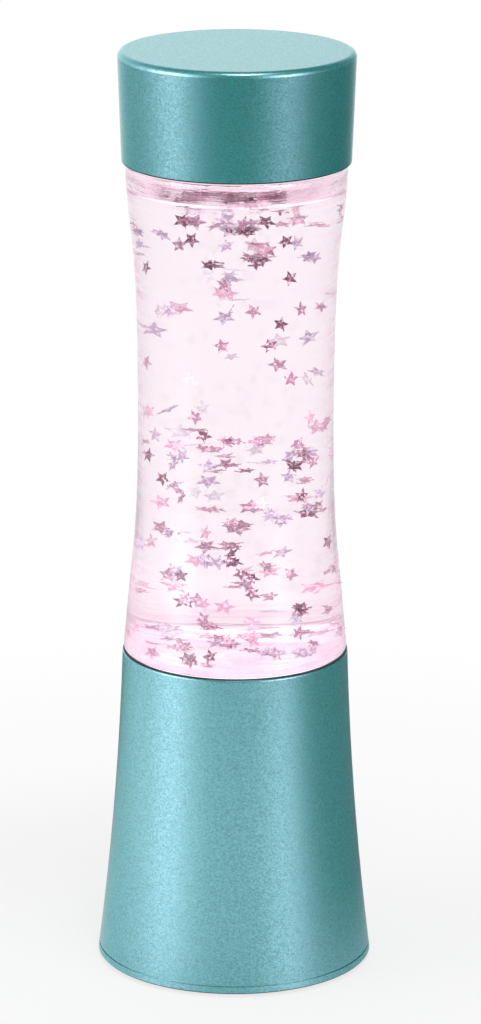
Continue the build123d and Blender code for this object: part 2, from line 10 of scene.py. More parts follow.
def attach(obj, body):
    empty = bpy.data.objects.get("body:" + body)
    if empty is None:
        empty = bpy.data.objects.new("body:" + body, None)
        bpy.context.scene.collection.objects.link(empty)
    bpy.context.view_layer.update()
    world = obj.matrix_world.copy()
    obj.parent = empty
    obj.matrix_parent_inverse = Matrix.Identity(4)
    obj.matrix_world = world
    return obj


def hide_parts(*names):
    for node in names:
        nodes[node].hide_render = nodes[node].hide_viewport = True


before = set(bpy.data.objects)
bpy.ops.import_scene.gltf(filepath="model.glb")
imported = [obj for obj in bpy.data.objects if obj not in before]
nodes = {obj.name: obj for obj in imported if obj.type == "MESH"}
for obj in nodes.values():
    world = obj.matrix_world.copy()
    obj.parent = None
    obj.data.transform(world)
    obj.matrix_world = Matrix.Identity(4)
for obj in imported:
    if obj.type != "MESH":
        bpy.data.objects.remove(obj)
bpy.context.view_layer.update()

MM = 0.001

# Photograph and camera
PHOTO_WIDTH = 481
PHOTO_HEIGHT = 1024
FOCAL_PIXELS = 5113.0
SENSOR = 36.0
NEAREST_SEEN = 0.01
CAMERA_DISTANCE = 1001.25 * MM
CAMERA_HEIGHT = 380.0 * MM
CAMERA_SIDE = 1.02 * MM
CAMERA_PITCH = math.radians(15.909)
CAMERA_ROLL = math.radians(0.21)

# Bottle and liquid, which follow the CAD solids
BOTTLE_FLOOR = 63.2 * MM
LIQUID_LEVEL = 162.4 * MM
BOTTLE_WALL = 2.0 * MM
FOOT_RADIUS = 22.85 * MM
WAIST_RADIUS = 19.8 * MM
HEAD_RADIUS = 22.35 * MM
FOOT_HEIGHT = 66.2 * MM
WAIST_HEIGHT = 117.0 * MM
HEAD_HEIGHT = 167.4 * MM
FOOT_ROUND = 0.7 * MM
HEAD_ROUND = 0.9 * MM
WELL_TOP = FOOT_HEIGHT + 3.4 * MM
HEAD_CEILING = HEAD_HEIGHT - 0.6 * MM
SPIGOT_RADIUS = 21.7 * MM
SPIGOT_BOTTOM = 61.0 * MM
SPIGOT_CHAMFER = 0.4 * MM
NECK_RADIUS = 16.0 * MM
NECK_FOOT = 171.4 * MM
NECK_TOP = 181.0 * MM
ROUND_STEPS = 256

# The bottle's side, as in the CAD: shares of the way from foot to waist or waist to head, and of
# the flare left there
FOOT_SIDE = ((0, 1), (0.27, 0.58), (0.47, 0.26), (0.66, 0.085), (0.86, 0.012))
HEAD_SIDE = ((0, 0), (0.26, 0.045), (0.45, 0.15), (0.65, 0.385), (0.85, 0.82), (1, 1))

# Painted glow on the bottle's foot and head, for the light that the wall carries to them, and on its
# underside and shoulder
FOOT_GLOW_TOP = 72.0 * MM
HEAD_GLOW_BOTTOM = 161.0 * MM
FOOT_FADE = 5.0 * MM
HEAD_FADE = 2.0 * MM
SKIN_RADIUS = 21.1 * MM
UNDERSIDE_GLOW_TOP = 61.6 * MM
SHOULDER_GLOW_BOTTOM = 167.2 * MM

# Paint on both shells
DARK_PIGMENT = (0, 142, 137)
PALE_PIGMENT = (20, 196, 189)
DARK_FLAKE = (128, 162, 178)
PALE_FLAKE = (148, 184, 203)
# Colour of the painted shade in the gaps at the bottle and along the base's bottom edge
PAINTED_SHADE_TINT = (6, 40, 40)
PIGMENT_ROUGH = 0.55
FLAKE_ROUGH = 0.37
FLAKE_POLISH = 0.06
FLAKE_TINT = (0.5, 0.98, 1.0, 1.0)
LEAST_FLAKE = 0.55
MORE_FLAKE = 0.14
FLAKE_TILT = 0.06
GRAIN = 3800.0
GRAIN_SHARE = 0.8
CLOUDS = 260.0
CLOUD_SHARE = 0.2
LACQUER = 0.7
LACQUER_ROUGH = 0.08

# Bare plastic inside the shells, within a radius and up to a top, which the base's socket hasn't: its
# top is over the whole lamp. The bare plastic gives off a painted glow, for the lamp's light on it
BARE_PLASTIC = (236, 228, 232)
INNER_LIGHT = (255, 226, 240)
INNER_GLOW = 0.8
CAP_INNER_RADIUS = 21.5 * MM
CAP_INNER_TOP = 189.2 * MM
SOCKET_RADIUS = 22.7 * MM
SOCKET_TOP = 1.0

# Painted shade in the gaps at the bottle and along the base's bottom edge: lowest and highest
# height, then least and greatest radius
RIM_PAINTED_SHADE = (65.4 * MM, 66.1 * MM, 22.1 * MM, 22.93 * MM)
LIP_PAINTED_SHADE = (167.0 * MM, 167.93 * MM, 22.2 * MM, 24.0 * MM)
FOOT_PAINTED_SHADE = (0.5 * MM, 0.84 * MM, 27.0 * MM, 29.0 * MM)


class Wire:
    """An output socket of a finish, whose sums and products add Math nodes."""

    def __init__(self, finish, socket):
        self.finish = finish
        self.socket = socket

    def math(self, operation, first, second=0.0):
        return self.finish.add("ShaderNodeMath", {"operation": operation}, {0: first, 1: second})

    def __add__(self, other):
        return self.math("ADD", self, other)

    def __sub__(self, other):
        return self.math("SUBTRACT", self, other)

    def __rsub__(self, other):
        return self.math("SUBTRACT", other, self)

    def __mul__(self, other):
        return self.math("MULTIPLY", self, other)

    def __truediv__(self, other):
        return self.math("DIVIDE", self, other)

    def __gt__(self, other):
        return self.math("GREATER_THAN", self, other)

    def __lt__(self, other):
        return self.math("LESS_THAN", self, other)

    __radd__ = __add__
    __rmul__ = __mul__

    def at_least(self, other):
        return self.math("MAXIMUM", self, other)

    def at_most(self, other):
        return self.math("MINIMUM", self, other)

    def clamped(self):
        return self.at_least(0.0).at_most(1.0)


class Finish:
    """A node tree, built one node at a time."""

    def __init__(self, name=None, world=None):
        self.owner = world or bpy.data.materials.new(name)
        self.owner.use_nodes = True
        self.tree = self.owner.node_tree
        self.tree.nodes.clear()

    def add(self, kind, settings=None, inputs=None, output=0):
        """Add a node, set it up, fill its sockets with values or wires, and return one output."""
        node = self.tree.nodes.new(kind)
        settings = dict(settings or {})
        stops = settings.pop("stops", None)
        for name, value in settings.items():
            setattr(node, name, value)
        if stops:
            ramp = node.color_ramp
            while len(ramp.elements) < len(stops):
                ramp.elements.new(0.5)
            for element, (position, tint) in zip(ramp.elements, stops):
                element.position = position
                element.color = tint
        for name, value in (inputs or {}).items():
            if isinstance(value, Wire):
                self.tree.links.new(value.socket, node.inputs[name])
            else:
                node.inputs[name].default_value = value
        return Wire(self, node.outputs[output]) if node.outputs else None

    def place(self, output="Object"):
        """Texture coordinates of the piece."""
        return self.add("ShaderNodeTexCoord", output=output)

    def vector(self, operation, first, second=(0.0, 0.0, 0.0), output="Vector"):
        """Vector Math node on one or two vectors."""
        return self.add("ShaderNodeVectorMath", {"operation": operation}, {0: first, 1: second}, output)

    def height(self, place):
        """Height of a place."""
        return self.add("ShaderNodeSeparateXYZ", {}, {0: place}, output="Z")

    def radius(self, place):
        """Distance of a place from the upright axis."""
        return self.vector("LENGTH", self.vector("MULTIPLY", place, (1.0, 1.0, 0.0)), output="Value")

    def ray(self, kind):
        """One for rays of a kind, and zero for the rest."""
        return self.add("ShaderNodeLightPath", output=f"Is {kind} Ray")

    def grey(self, level):
        """Colour with the same level of red, green and blue."""
        return self.add("ShaderNodeCombineXYZ", {}, {"X": level, "Y": level, "Z": level})

    def mix(self, factor, first, second):
        """Blend of two colours."""
        return self.add("ShaderNodeMix", {"data_type": "RGBA"}, {0: factor, 6: first, 7: second}, output=2)

    def blend(self, factor, first, second):
        """Blend of two shaders."""
        return self.add("ShaderNodeMixShader", {}, {0: factor, 1: first, 2: second})

    def glow(self, tint):
        """Shader that gives off a colour."""
        return self.add("ShaderNodeEmission", {}, {"Color": tint, "Strength": 1.0})

    def noise(self, scale, detail=2.0, rough=0.5, place=None):
        """Noise from 0 to 1 on the object's own coordinates, with its scale in features a metre."""
        return self.add("ShaderNodeTexNoise", {}, {
            "Vector": place or self.place(), "Scale": scale, "Detail": detail, "Roughness": rough})

    def specks(self, scale, place):
        """Cells of random colour, with their scale in cells a metre, and a random value in each."""
        speck = self.add("ShaderNodeTexVoronoi", {}, {"Vector": place, "Scale": scale}, output="Color")
        return speck, self.add("ShaderNodeSeparateColor", {}, {"Color": speck})

    def principled(self, **sockets):
        """Principled shader, with its sockets named in words joined by underscores."""
        named = {key.replace("_", " ").title().replace("Ior", "IOR"): value
                 for key, value in sockets.items()}
        return self.add("ShaderNodeBsdfPrincipled", {}, named)

    def bump(self, height, distance, strength=1.0):
        """Normal tilted by a height from 0 to 1 over a real distance."""
        return self.add("ShaderNodeBump", {}, {
            "Strength": strength, "Distance": distance, "Height": height})

    def surface(self, shader):
        """Send a shader to the surface and return the finished material or world."""
        kind = "World" if isinstance(self.owner, bpy.types.World) else "Material"
        self.add(f"ShaderNodeOutput{kind}", {}, {"Surface": shader})
        return self.owner


def colour(red, green, blue):
    """Linear colour with alpha, from the 0 to 255 values that a screen shows."""
    shares = np.array([red, green, blue]) / 255.0
    linear = np.where(shares <= 0.04045, shares / 12.92, ((shares + 0.055) / 1.055) ** 2.4)
    return (*linear.tolist(), 1.0)


def dimmed(tint, share):
    """A share of a colour's light."""
    return (*(share * level for level in tint[:3]), 1.0)


def teal_paint(name, inner_radius, inner_top, painted_shades):
    """Satin paint: pale metal flakes in a deep teal pigment, under a thin lacquer. Each flake leans
    its own way. Closer to the axis than the inner radius, and under the inner top, the plastic is
    bare and white, with a painted glow for the lamp's light on it. Each painted shade is a dark band,
    without lacquer, between two heights and two radii, for the shade in a gap or under an edge."""
    paint = Finish(name)
    place = paint.place()
    height = paint.height(place)
    radius = paint.radius(place)
    # Painted shade: dark bands in the gaps at the bottle and along the base's bottom edge
    edge = 0.0
    for low, high, inner, outer in painted_shades:
        edge = (height > low) * (height < high) * (radius > inner) * (radius < outer) + edge
    painted = (radius > inner_radius).at_least(height > inner_top).at_least(edge)
    speck, lift = paint.specks(GRAIN, place)
    uneven = lift * GRAIN_SHARE + paint.noise(CLOUDS, detail=3.0) * CLOUD_SHARE
    share = uneven * MORE_FLAKE + LEAST_FLAKE
    lean = paint.vector("SUBTRACT", speck, (0.5, 0.5, 0.5))
    lean = paint.vector("MULTIPLY", lean, (FLAKE_TILT, FLAKE_TILT, FLAKE_TILT))
    upright = paint.add("ShaderNodeNewGeometry", output="Normal")
    leaning = paint.vector("NORMALIZE", paint.vector("ADD", upright, lean))
    lacquer = {"coat_weight": painted * (1.0 - edge) * LACQUER, "coat_roughness": LACQUER_ROUGH}
    teal = paint.mix(lift, colour(*DARK_PIGMENT), colour(*PALE_PIGMENT))
    teal = paint.mix(edge, teal, colour(*PAINTED_SHADE_TINT))
    pigment = paint.principled(
        base_color=paint.mix(painted, colour(*BARE_PLASTIC), teal), roughness=PIGMENT_ROUGH,
        emission_color=paint.mix(painted, colour(*INNER_LIGHT), colour(0, 0, 0)),
        emission_strength=INNER_GLOW, **lacquer)
    flake = paint.principled(
        base_color=paint.mix(lift, colour(*DARK_FLAKE), colour(*PALE_FLAKE)), metallic=1.0,
        roughness=FLAKE_ROUGH - lift * FLAKE_POLISH, specular_tint=FLAKE_TINT, normal=leaning, **lacquer)
    return paint.surface(paint.blend(share * painted * (1.0 - edge), pigment, flake))


def see_through(finish, shader):
    """The same shader, but clear to shadow rays, so that light reaches what is inside."""
    let_through = (0.97, 0.95, 0.96, 1.0)
    clear = finish.add("ShaderNodeBsdfTransparent", {}, {"Color": let_through})
    return finish.blend(finish.ray("Shadow"), shader, clear)


def clear_bottle():
    """Polished clear plastic with faint flow ripples. The outer face of its thick foot and head gives
    off a painted glow with streaks of pink and white, for the light that the wall carries to them. So
    does the wall where it is seen edge on, and so do its frosted underside and shoulder."""
    middle_glass, end_glass = (1.0, 0.978, 0.989, 1.0), (0.985, 0.91, 0.95, 1.0)
    white_glow, pink_glow = (1.0, 0.93, 0.965, 1.0), (0.94, 0.60, 0.77, 1.0)
    streaks, streak_contrast, streak_start, streak_stretch = 110.0, 5.0, 2.1, 9.0
    ripples, ripple_depth, streak_ripple = 90.0, 0.05 * MM, 3.0
    foot_glow, streak_glow, frosted_glow = 0.18, 0.3, 0.85
    edge_glow, edge_power = 0.75, 3.0
    clear = Finish("clear_bottle")
    place = clear.place()
    height = clear.height(place)
    below = (FOOT_GLOW_TOP - height) / FOOT_FADE
    above = (height - HEAD_GLOW_BOTTOM) / HEAD_FADE
    ends = below.at_least(above).clamped()
    drawn = clear.vector("MULTIPLY", place, (1.0, 1.0, streak_stretch))
    streak = clear.noise(streaks, detail=3.0, rough=0.6, place=drawn)
    streak = (streak * streak_contrast - streak_start).clamped()
    edge_on = clear.add("ShaderNodeLayerWeight", {}, {"Blend": 0.5}, output="Facing")
    wave = clear.noise(ripples, detail=1.0, place=place) + streak * ends * streak_ripple
    glass = clear.principled(
        base_color=clear.mix(ends, middle_glass, end_glass), roughness=0.0, ior=1.49,
        transmission_weight=1.0, normal=clear.bump(wave, ripple_depth, strength=0.3))
    # Painted glow, pink and white along the streaks
    painted_glow = clear.glow(clear.mix(streak, white_glow, pink_glow))
    # Share of the painted glow: more below the waist and along the streaks
    film = (height < WAIST_HEIGHT) * foot_glow + streak * streak_glow
    skin = ends * (clear.radius(place) > SKIN_RADIUS) * film
    skin = skin.at_least(((height < UNDERSIDE_GLOW_TOP) + (height > SHOULDER_GLOW_BOTTOM)) * frosted_glow)
    skin = skin.at_least(edge_on.math("POWER", edge_on, edge_power) * edge_glow)
    return clear.surface(see_through(clear, clear.blend(skin, glass, painted_glow)))


def pink_liquid():
    """Clear liquid with a faint pink tint and a faint painted glow for the light from below, brightest at
    its surface.
    """
    tint, dim, bright = (0.99, 0.925, 0.965, 1.0), (0.05, 0.04, 0.046, 1.0), (0.8, 0.6, 0.7, 1.0)
    surface_depth = 0.1 * MM
    pink = Finish("pink_liquid")
    surface = pink.height(pink.place()) > LIQUID_LEVEL - surface_depth
    body = pink.principled(
        base_color=tint, roughness=0.0, ior=1.36, transmission_weight=1.0,
        emission_color=pink.mix(surface, dim, bright), emission_strength=0.42)
    return pink.surface(see_through(pink, body))


def glitter(name, dark, light, metallic):
    """Metallised film with fine holographic speckle: cells from dark to light, and a few painted glints.
    Where the stars crowd on top of the liquid they shade each other."""
    crowd_depth, crowding, crowded_share = 0.4 * MM, 0.7, 0.9
    cells, cell_depth, rough, rougher = 2600.0, 0.03 * MM, 0.35, 0.2
    # Near-white colour of the painted glints
    glint_tint = (0.92, 0.84, 0.9, 1.0)
    film = Finish(name)
    place = film.place()
    crowded = (film.height(place) > LIQUID_LEVEL - crowd_depth) * crowding
    share = film.specks(cells, place)[1]
    stops = [(0.0, dark), (0.46, dark), (0.74, light), (0.86, light), (0.93, glint_tint)]
    tone = film.add("ShaderNodeValToRGB", {"stops": stops}, {0: share})
    return film.surface(film.principled(
        base_color=film.mix(crowded, tone, dimmed(dark, crowded_share)), metallic=metallic,
        roughness=rough + share * rougher, normal=film.bump(share, cell_depth, strength=0.5)))


def moulded(name, tint, rough=0.45, grain=2500.0):
    """Moulded plastic or rubber with a fine grain."""
    darkest, rougher, grain_depth = 0.88, 0.12, 0.02 * MM
    plastic = Finish(name)
    speck = plastic.noise(grain)
    return plastic.surface(plastic.principled(
        base_color=plastic.mix(speck, dimmed(tint, darkest), tint), roughness=rough + speck * rougher,
        normal=plastic.bump(speck, grain_depth, strength=0.4)))


def plated(name, tint, rough=0.28):
    """Plated metal with fine scratches."""
    scratches, darkest, rougher, scratch_depth = 1800.0, 0.8, 0.15, 0.01 * MM
    metal = Finish(name)
    scratch = metal.noise(scratches, detail=4.0, rough=0.7)
    return metal.surface(metal.principled(
        base_color=metal.mix(scratch, dimmed(tint, darkest), tint), metallic=1.0,
        roughness=rough + scratch * rougher, normal=metal.bump(scratch, scratch_depth, strength=0.4)))


def lit(name, tint, strength, rough=0.4):
    """Clear or frosted plastic that gives off a glow for the light behind it."""
    clouds, darkest = 300.0, 0.93
    lamp = Finish(name)
    shade = lamp.mix(lamp.noise(clouds), dimmed(tint, darkest), tint)
    return lamp.surface(lamp.principled(
        base_color=shade, roughness=rough, emission_color=shade, emission_strength=strength))


def new_piece(name, points, faces, smooth, finish):
    """Mesh object from arrays of points and faces, with one material."""
    mesh = bpy.data.meshes.new(name)
    mesh.from_pydata(points.tolist(), [], faces)
    mesh.polygons.foreach_set("use_smooth", np.full(len(faces), smooth))
    mesh.materials.append(finish)
    mesh.update()
    piece = bpy.data.objects.new(name, mesh)
    bpy.context.scene.collection.objects.link(piece)
    return piece


def turned(profile, steps=ROUND_STEPS):
    """Surface of revolution on a grid: each profile point (radius, height) but the first and last is
    turned through equal angles. Those two lie on the axis, where a fan of triangles closes it."""
    profile = np.asarray(profile, float)
    rings = profile[1:-1]
    angle = np.linspace(0.0, 2.0 * math.pi, steps, endpoint=False)
    x = rings[:, 0, None] * np.cos(angle)
    y = rings[:, 0, None] * np.sin(angle)
    z = np.repeat(rings[:, 1, None], steps, axis=1)
    points = np.stack([x, y, z], axis=2).reshape(-1, 3)
    low, high = len(points), len(points) + 1
    points = np.vstack([points, [0.0, 0.0, profile[0, 1]], [0.0, 0.0, profile[-1, 1]]])
    column = np.arange(steps)
    across = (column + 1) % steps
    rows = np.arange(len(rings) - 1)[:, None] * steps
    quads = np.stack([rows + column, rows + across, rows + steps + across, rows + steps + column], axis=2)
    faces = quads.reshape(-1, 4).tolist()
    last = (len(rings) - 1) * steps
    faces += np.stack([across, column, np.full(steps, low)], axis=1).tolist()
    faces += np.stack([last + column, last + across, np.full(steps, high)], axis=1).tolist()
    return points, faces


def smooth_curve(knots_x, knots_y, x):
    """Natural cubic spline through knots, solved for its second derivatives, at the places x."""
    knots_x, knots_y = np.asarray(knots_x, float), np.asarray(knots_y, float)
    step = np.diff(knots_x)
    slope = np.diff(knots_y) / step
    size = len(knots_x)
    system = np.eye(size)
    right = np.zeros(size)
    inner = np.arange(1, size - 1)
    system[inner, inner - 1] = step[:-1]
    system[inner, inner] = 2.0 * (step[:-1] + step[1:])
    system[inner, inner + 1] = step[1:]
    right[inner] = 6.0 * np.diff(slope)
    bend = np.linalg.solve(system, right)
    cell = np.clip(np.searchsorted(knots_x, x) - 1, 0, size - 2)
    width = step[cell]
    before, after = (knots_x[cell + 1] - x) / width, (x - knots_x[cell]) / width
    lift = (before ** 3 - before) * bend[cell] + (after ** 3 - after) * bend[cell + 1]
    return before * knots_y[cell] + after * knots_y[cell + 1] + lift * width ** 2 / 6.0


def side_radius(height):
    """Outer radius of the bottle's side at heights."""
    knots = [(FOOT_HEIGHT + (WAIST_HEIGHT - FOOT_HEIGHT) * rise,
              WAIST_RADIUS + (FOOT_RADIUS - WAIST_RADIUS) * flare) for rise, flare in FOOT_SIDE]
    knots += [(WAIST_HEIGHT + (HEAD_HEIGHT - WAIST_HEIGHT) * rise,
               WAIST_RADIUS + (HEAD_RADIUS - WAIST_RADIUS) * flare) for rise, flare in HEAD_SIDE]
    levels, radii = zip(*knots)
    return smooth_curve(levels, radii, np.asarray(height, float))


def side(inset, low, high, steps=80):
    """Points up the bottle's side between two heights, drawn in by an inset."""
    height = np.linspace(low, high, steps)
    return np.stack([side_radius(height) - inset, height], axis=1)


def corner(start, middle, end, steps=6):
    """Rounded corner: a quadratic curve from start to end that leaves and arrives towards middle."""
    t = np.linspace(0.0, 1.0, steps + 1)[:, None]
    start, middle, end = (np.asarray(point, float) for point in (start, middle, end))
    return (1 - t) ** 2 * start + 2 * t * (1 - t) * middle + t ** 2 * end


def well_corner(grow, steps=14):
    """Inside corner of the foot, from the wall to the floor: a cubic curve that leaves the wall along
    its own slope and arrives level, grown outwards and down by a small amount."""
    along_wall, inside_well, along_floor = 2.2, 0.3 * MM, 3.0 * MM
    wall = side_radius(WELL_TOP) - BOTTLE_WALL + grow
    slope = side_radius(WELL_TOP - MM) - side_radius(WELL_TOP)
    well = SPIGOT_RADIUS - BOTTLE_WALL
    floor = BOTTLE_FLOOR - grow
    points = ((wall, WELL_TOP), (wall + slope * along_wall, WELL_TOP - along_wall * MM),
              (well - inside_well + grow, floor), (well - along_floor, floor))
    t = np.linspace(0.0, 1.0, steps + 1)[1:, None]
    start, first, second, end = (np.asarray(point, float) for point in points)
    return (1 - t) ** 3 * start + 3 * t * (1 - t) ** 2 * first + 3 * t ** 2 * (1 - t) * second + t ** 3 * end


def make_bottle(finish):
    """Thick clear bottle: one closed wall profile, outside up and inside down, turned about the axis."""
    ledge_width, ledge_out, ledge_in, ledge_rise = 1.7 * MM, 0.3 * MM, 0.5 * MM, 0.4 * MM
    neck_drop, ceiling_reach, ceiling_rise = 1.2 * MM, 1.6 * MM, 0.1 * MM
    ceiling_bend, ceiling_clear, rounds_clear = 1.2 * MM, 1.5 * MM, 1.5
    ledge = HEAD_RADIUS - ledge_width
    foot = side_radius(FOOT_HEIGHT)
    inside_top = side_radius(HEAD_CEILING) - BOTTLE_WALL
    bore = NECK_RADIUS - BOTTLE_WALL
    outside = [
        [[0.0, SPIGOT_BOTTOM]],
        [[SPIGOT_RADIUS - SPIGOT_CHAMFER, SPIGOT_BOTTOM]],
        [[SPIGOT_RADIUS, SPIGOT_BOTTOM + SPIGOT_CHAMFER]],
        [[SPIGOT_RADIUS, FOOT_HEIGHT]],
        corner((foot - FOOT_ROUND, FOOT_HEIGHT), (foot, FOOT_HEIGHT),
               (side_radius(FOOT_HEIGHT + FOOT_ROUND), FOOT_HEIGHT + FOOT_ROUND)),
        side(0.0, FOOT_HEIGHT + rounds_clear * FOOT_ROUND, HEAD_HEIGHT - rounds_clear * HEAD_ROUND),
        corner((side_radius(HEAD_HEIGHT - HEAD_ROUND), HEAD_HEIGHT - HEAD_ROUND),
               (HEAD_RADIUS, HEAD_HEIGHT), (HEAD_RADIUS - HEAD_ROUND, HEAD_HEIGHT)),
        corner((ledge + ledge_out, HEAD_HEIGHT), (ledge, HEAD_HEIGHT),
               (ledge - ledge_in, HEAD_HEIGHT + ledge_rise)),
        [[NECK_RADIUS, NECK_FOOT]],
        [[NECK_RADIUS, NECK_TOP]],
    ]
    inside = [
        [[bore, NECK_TOP]],
        [[bore, NECK_FOOT - neck_drop]],
        corner((ledge - ceiling_reach, HEAD_CEILING + ceiling_rise), (inside_top, HEAD_CEILING),
               (inside_top, HEAD_CEILING - ceiling_bend)),
        side(BOTTLE_WALL, WELL_TOP, HEAD_CEILING - ceiling_clear)[::-1],
        well_corner(0.0),
        [[0.0, BOTTLE_FLOOR]],
    ]
    points, faces = turned(np.vstack(outside + inside))
    return new_piece("bottle_glass", points, faces, True, finish)


def make_liquid(finish):
    """Liquid: the bottle's inside grown a little into the wall, with a meniscus that climbs the wall."""
    grow = 0.15 * MM
    climb, reach, steepness, steps = 0.45 * MM, 1.4 * MM, 2.6, 10
    wall_top = side_radius(LIQUID_LEVEL + climb) - BOTTLE_WALL + grow
    inward = np.linspace(0.0, 1.0, steps)
    meniscus = np.stack([wall_top - grow - reach * inward,
                         LIQUID_LEVEL + climb * (1 - inward) ** steepness], axis=1)
    profile = np.vstack([
        [[0.0, BOTTLE_FLOOR - grow]],
        well_corner(grow)[::-1],
        side(BOTTLE_WALL - grow, WELL_TOP, LIQUID_LEVEL + climb),
        meniscus,
        [[0.5 * wall_top, LIQUID_LEVEL]],
        [[0.0, LIQUID_LEVEL]],
    ])
    points, faces = turned(profile)
    return new_piece("liquid_body", points, faces, True, finish)


# Glitter stars
STAR_RADIUS = 1.7 * MM
STAR_WAIST = 0.46
STAR_THICKNESS = 0.12 * MM
STAR_CURL = 0.12 * MM
STAR_TIPS = 5
STAR_SEED = 7
STAR_KINDS = ("plum", "mauve", "silver", "pink", "white")
FREE_GAP = 0.5 * MM


def shares_of(*weights):
    """Weights as shares of their sum."""
    return np.array(weights) / sum(weights)


FRONT_WEIGHTS = shares_of(11, 9, 4, 3, 2)
BACK_WEIGHTS = shares_of(2, 5, 8, 8, 6)
MAT_WEIGHTS = shares_of(26, 3, 0, 0, 0)

# Stars that stand clear in the photograph: column, row and kind
CLEAR_STARS = (
    (282, 239, 0), (195, 237, 0), (157, 265, 0), (254, 261, 0), (286, 276, 0), (277, 322, 0),
    (267, 344, 0), (206, 434, 0), (158, 454, 0), (290, 464, 0), (170, 477, 0), (295, 494, 0),
    (185, 574, 0), (251, 593, 0), (295, 607, 0), (194, 660, 0), (212, 655, 0), (184, 242, 1),
    (225, 283, 1), (252, 309, 1), (295, 307, 1), (310, 304, 1), (155, 361, 1), (223, 344, 1),
    (286, 377, 1), (199, 415, 1), (292, 442, 1), (186, 496, 1), (190, 598, 1), (286, 573, 1),
    (227, 640, 1), (273, 653, 1), (292, 240, 2), (227, 243, 2), (175, 308, 2), (165, 433, 2),
    (187, 454, 2), (284, 475, 2), (309, 492, 2), (301, 506, 2), (208, 559, 2), (290, 617, 2),
    (293, 651, 2), (210, 274, 4), (232, 354, 4), (195, 378, 4), (151, 411, 4), (302, 416, 3),
    (159, 410, 3),
)
CLEAR_DEPTH = 0.8
CLEAR_TILT = 0.35
DEPTH_TRIES = 12
DEPTH_STEP = 0.9

# Clumps of stars in the photograph: column, row, kind, how many, and reach across and up in pixels
CLUMPS = (
    (238, 222, 1, 9, 17, 4), (246, 227, 0, 5, 10, 4), (252, 243, 3, 5, 7, 4), (256, 255, 1, 5, 9, 4),
    (219, 262, 0, 3, 7, 3), (230, 275, 2, 4, 7, 5), (160, 236, 2, 9, 15, 9), (146, 253, 1, 3, 6, 3),
    (304, 221, 3, 5, 15, 3), (301, 253, 2, 4, 8, 4), (336, 215, 1, 4, 3, 12), (139, 222, 1, 4, 3, 10),
    (154, 447, 1, 3, 5, 9), (184, 453, 2, 3, 7, 5), (240, 438, 1, 4, 16, 2), (264, 437, 1, 2, 4, 3),
    (212, 446, 1, 3, 9, 2), (219, 454, 1, 2, 9, 2), (226, 462, 1, 3, 9, 2), (258, 460, 2, 2, 9, 2),
    (219, 468, 1, 2, 5, 2), (241, 468, 0, 2, 6, 2), (322, 418, 3, 4, 7, 3), (319, 424, 1, 1, 6, 1),
    (295, 449, 1, 3, 6, 4), (290, 463, 0, 3, 5, 3), (306, 458, 1, 2, 7, 2), (327, 454, 1, 1, 2, 3),
    (297, 478, 1, 3, 2, 7), (319, 480, 2, 1, 2, 2), (304, 506, 1, 5, 10, 3), (253, 504, 3, 4, 7, 4),
    (262, 511, 2, 4, 8, 3), (279, 517, 2, 3, 5, 3), (214, 509, 1, 4, 9, 3), (237, 523, 1, 5, 10, 3),
    (180, 533, 2, 5, 10, 6), (228, 542, 1, 5, 7, 5), (210, 547, 0, 2, 4, 3), (231, 555, 0, 3, 5, 5),
    (207, 559, 2, 3, 5, 4), (318, 541, 0, 2, 4, 4), (244, 574, 0, 2, 7, 2), (260, 565, 1, 3, 8, 2),
    (236, 583, 1, 4, 10, 3), (270, 593, 1, 3, 8, 2), (324, 569, 1, 5, 9, 4), (335, 582, 1, 1, 2, 2),
    (152, 586, 3, 6, 7, 5), (297, 607, 0, 4, 5, 3), (315, 608, 1, 2, 4, 3), (296, 628, 1, 3, 3, 6),
    (305, 640, 1, 1, 2, 2), (142, 628, 3, 5, 5, 6), (175, 634, 2, 5, 7, 9), (331, 624, 3, 9, 8, 8),
    (212, 622, 1, 4, 6, 5), (226, 640, 1, 5, 7, 6), (248, 635, 3, 4, 8, 3), (268, 648, 2, 5, 10, 4),
    (300, 649, 2, 5, 8, 5), (193, 657, 0, 3, 4, 3), (158, 652, 1, 2, 3, 3),
)
CLUMP_SPREAD = 0.3
CLUMP_TILT = 0.5

# Loose stars, in bands: levels are the lowest and highest share of the depth, where a share over one
# floats on the liquid, reach is a share of the free radius, and gather a power that draws them inwards.
# Behind is the share of them that is moved to the back, squeeze narrows the band from front to back,
# and aside and forward shift it, in shares of the waist radius. Spread is that of the tilts in
# radians, and flat says that they lie. A band's own weights of the kinds come before the usual ones.
LOOSE_BANDS = (
    {"levels": (1.0, 1.004), "reach": 0.75, "behind": 0.0, "spread": 0.45, "flat": True, "forward": 0.5,
     "aside": -0.12, "squeeze": 0.36, "weights": MAT_WEIGHTS, "gather": 2.0, "count": 150},
    {"levels": (1.0, 1.004), "reach": 0.95, "behind": 0.4, "spread": 0.2, "flat": True, "count": 26},
    {"levels": (0.92, 0.985), "reach": 0.5, "behind": 0.6, "spread": 0.8, "flat": False, "count": 26},
    {"levels": (0.76, 0.90), "reach": 0.34, "behind": 0.0, "spread": 0.9, "flat": False, "count": 10},
    {"levels": (0.70, 0.96), "reach": 1.0, "behind": 1.0, "spread": 0.7, "flat": False, "count": 12},
    {"levels": (0.55, 0.76), "reach": 1.0, "behind": 1.0, "spread": 0.9, "flat": False, "count": 8},
    {"levels": (0.42, 0.54), "reach": 1.0, "behind": 1.0, "spread": 0.6, "flat": False, "count": 10},
    {"levels": (0.24, 0.42), "reach": 1.0, "behind": 1.0, "spread": 0.6, "flat": False, "count": 18},
    {"levels": (0.05, 0.24), "reach": 1.0, "behind": 1.0, "spread": 0.6, "flat": False, "count": 22},
    {"levels": (0.0, 0.05), "reach": 1.0, "behind": 0.7, "spread": 0.3, "flat": True, "count": 24},
)
USUAL_GATHER = 0.5
FLOAT_RISE = 0.1 * MM


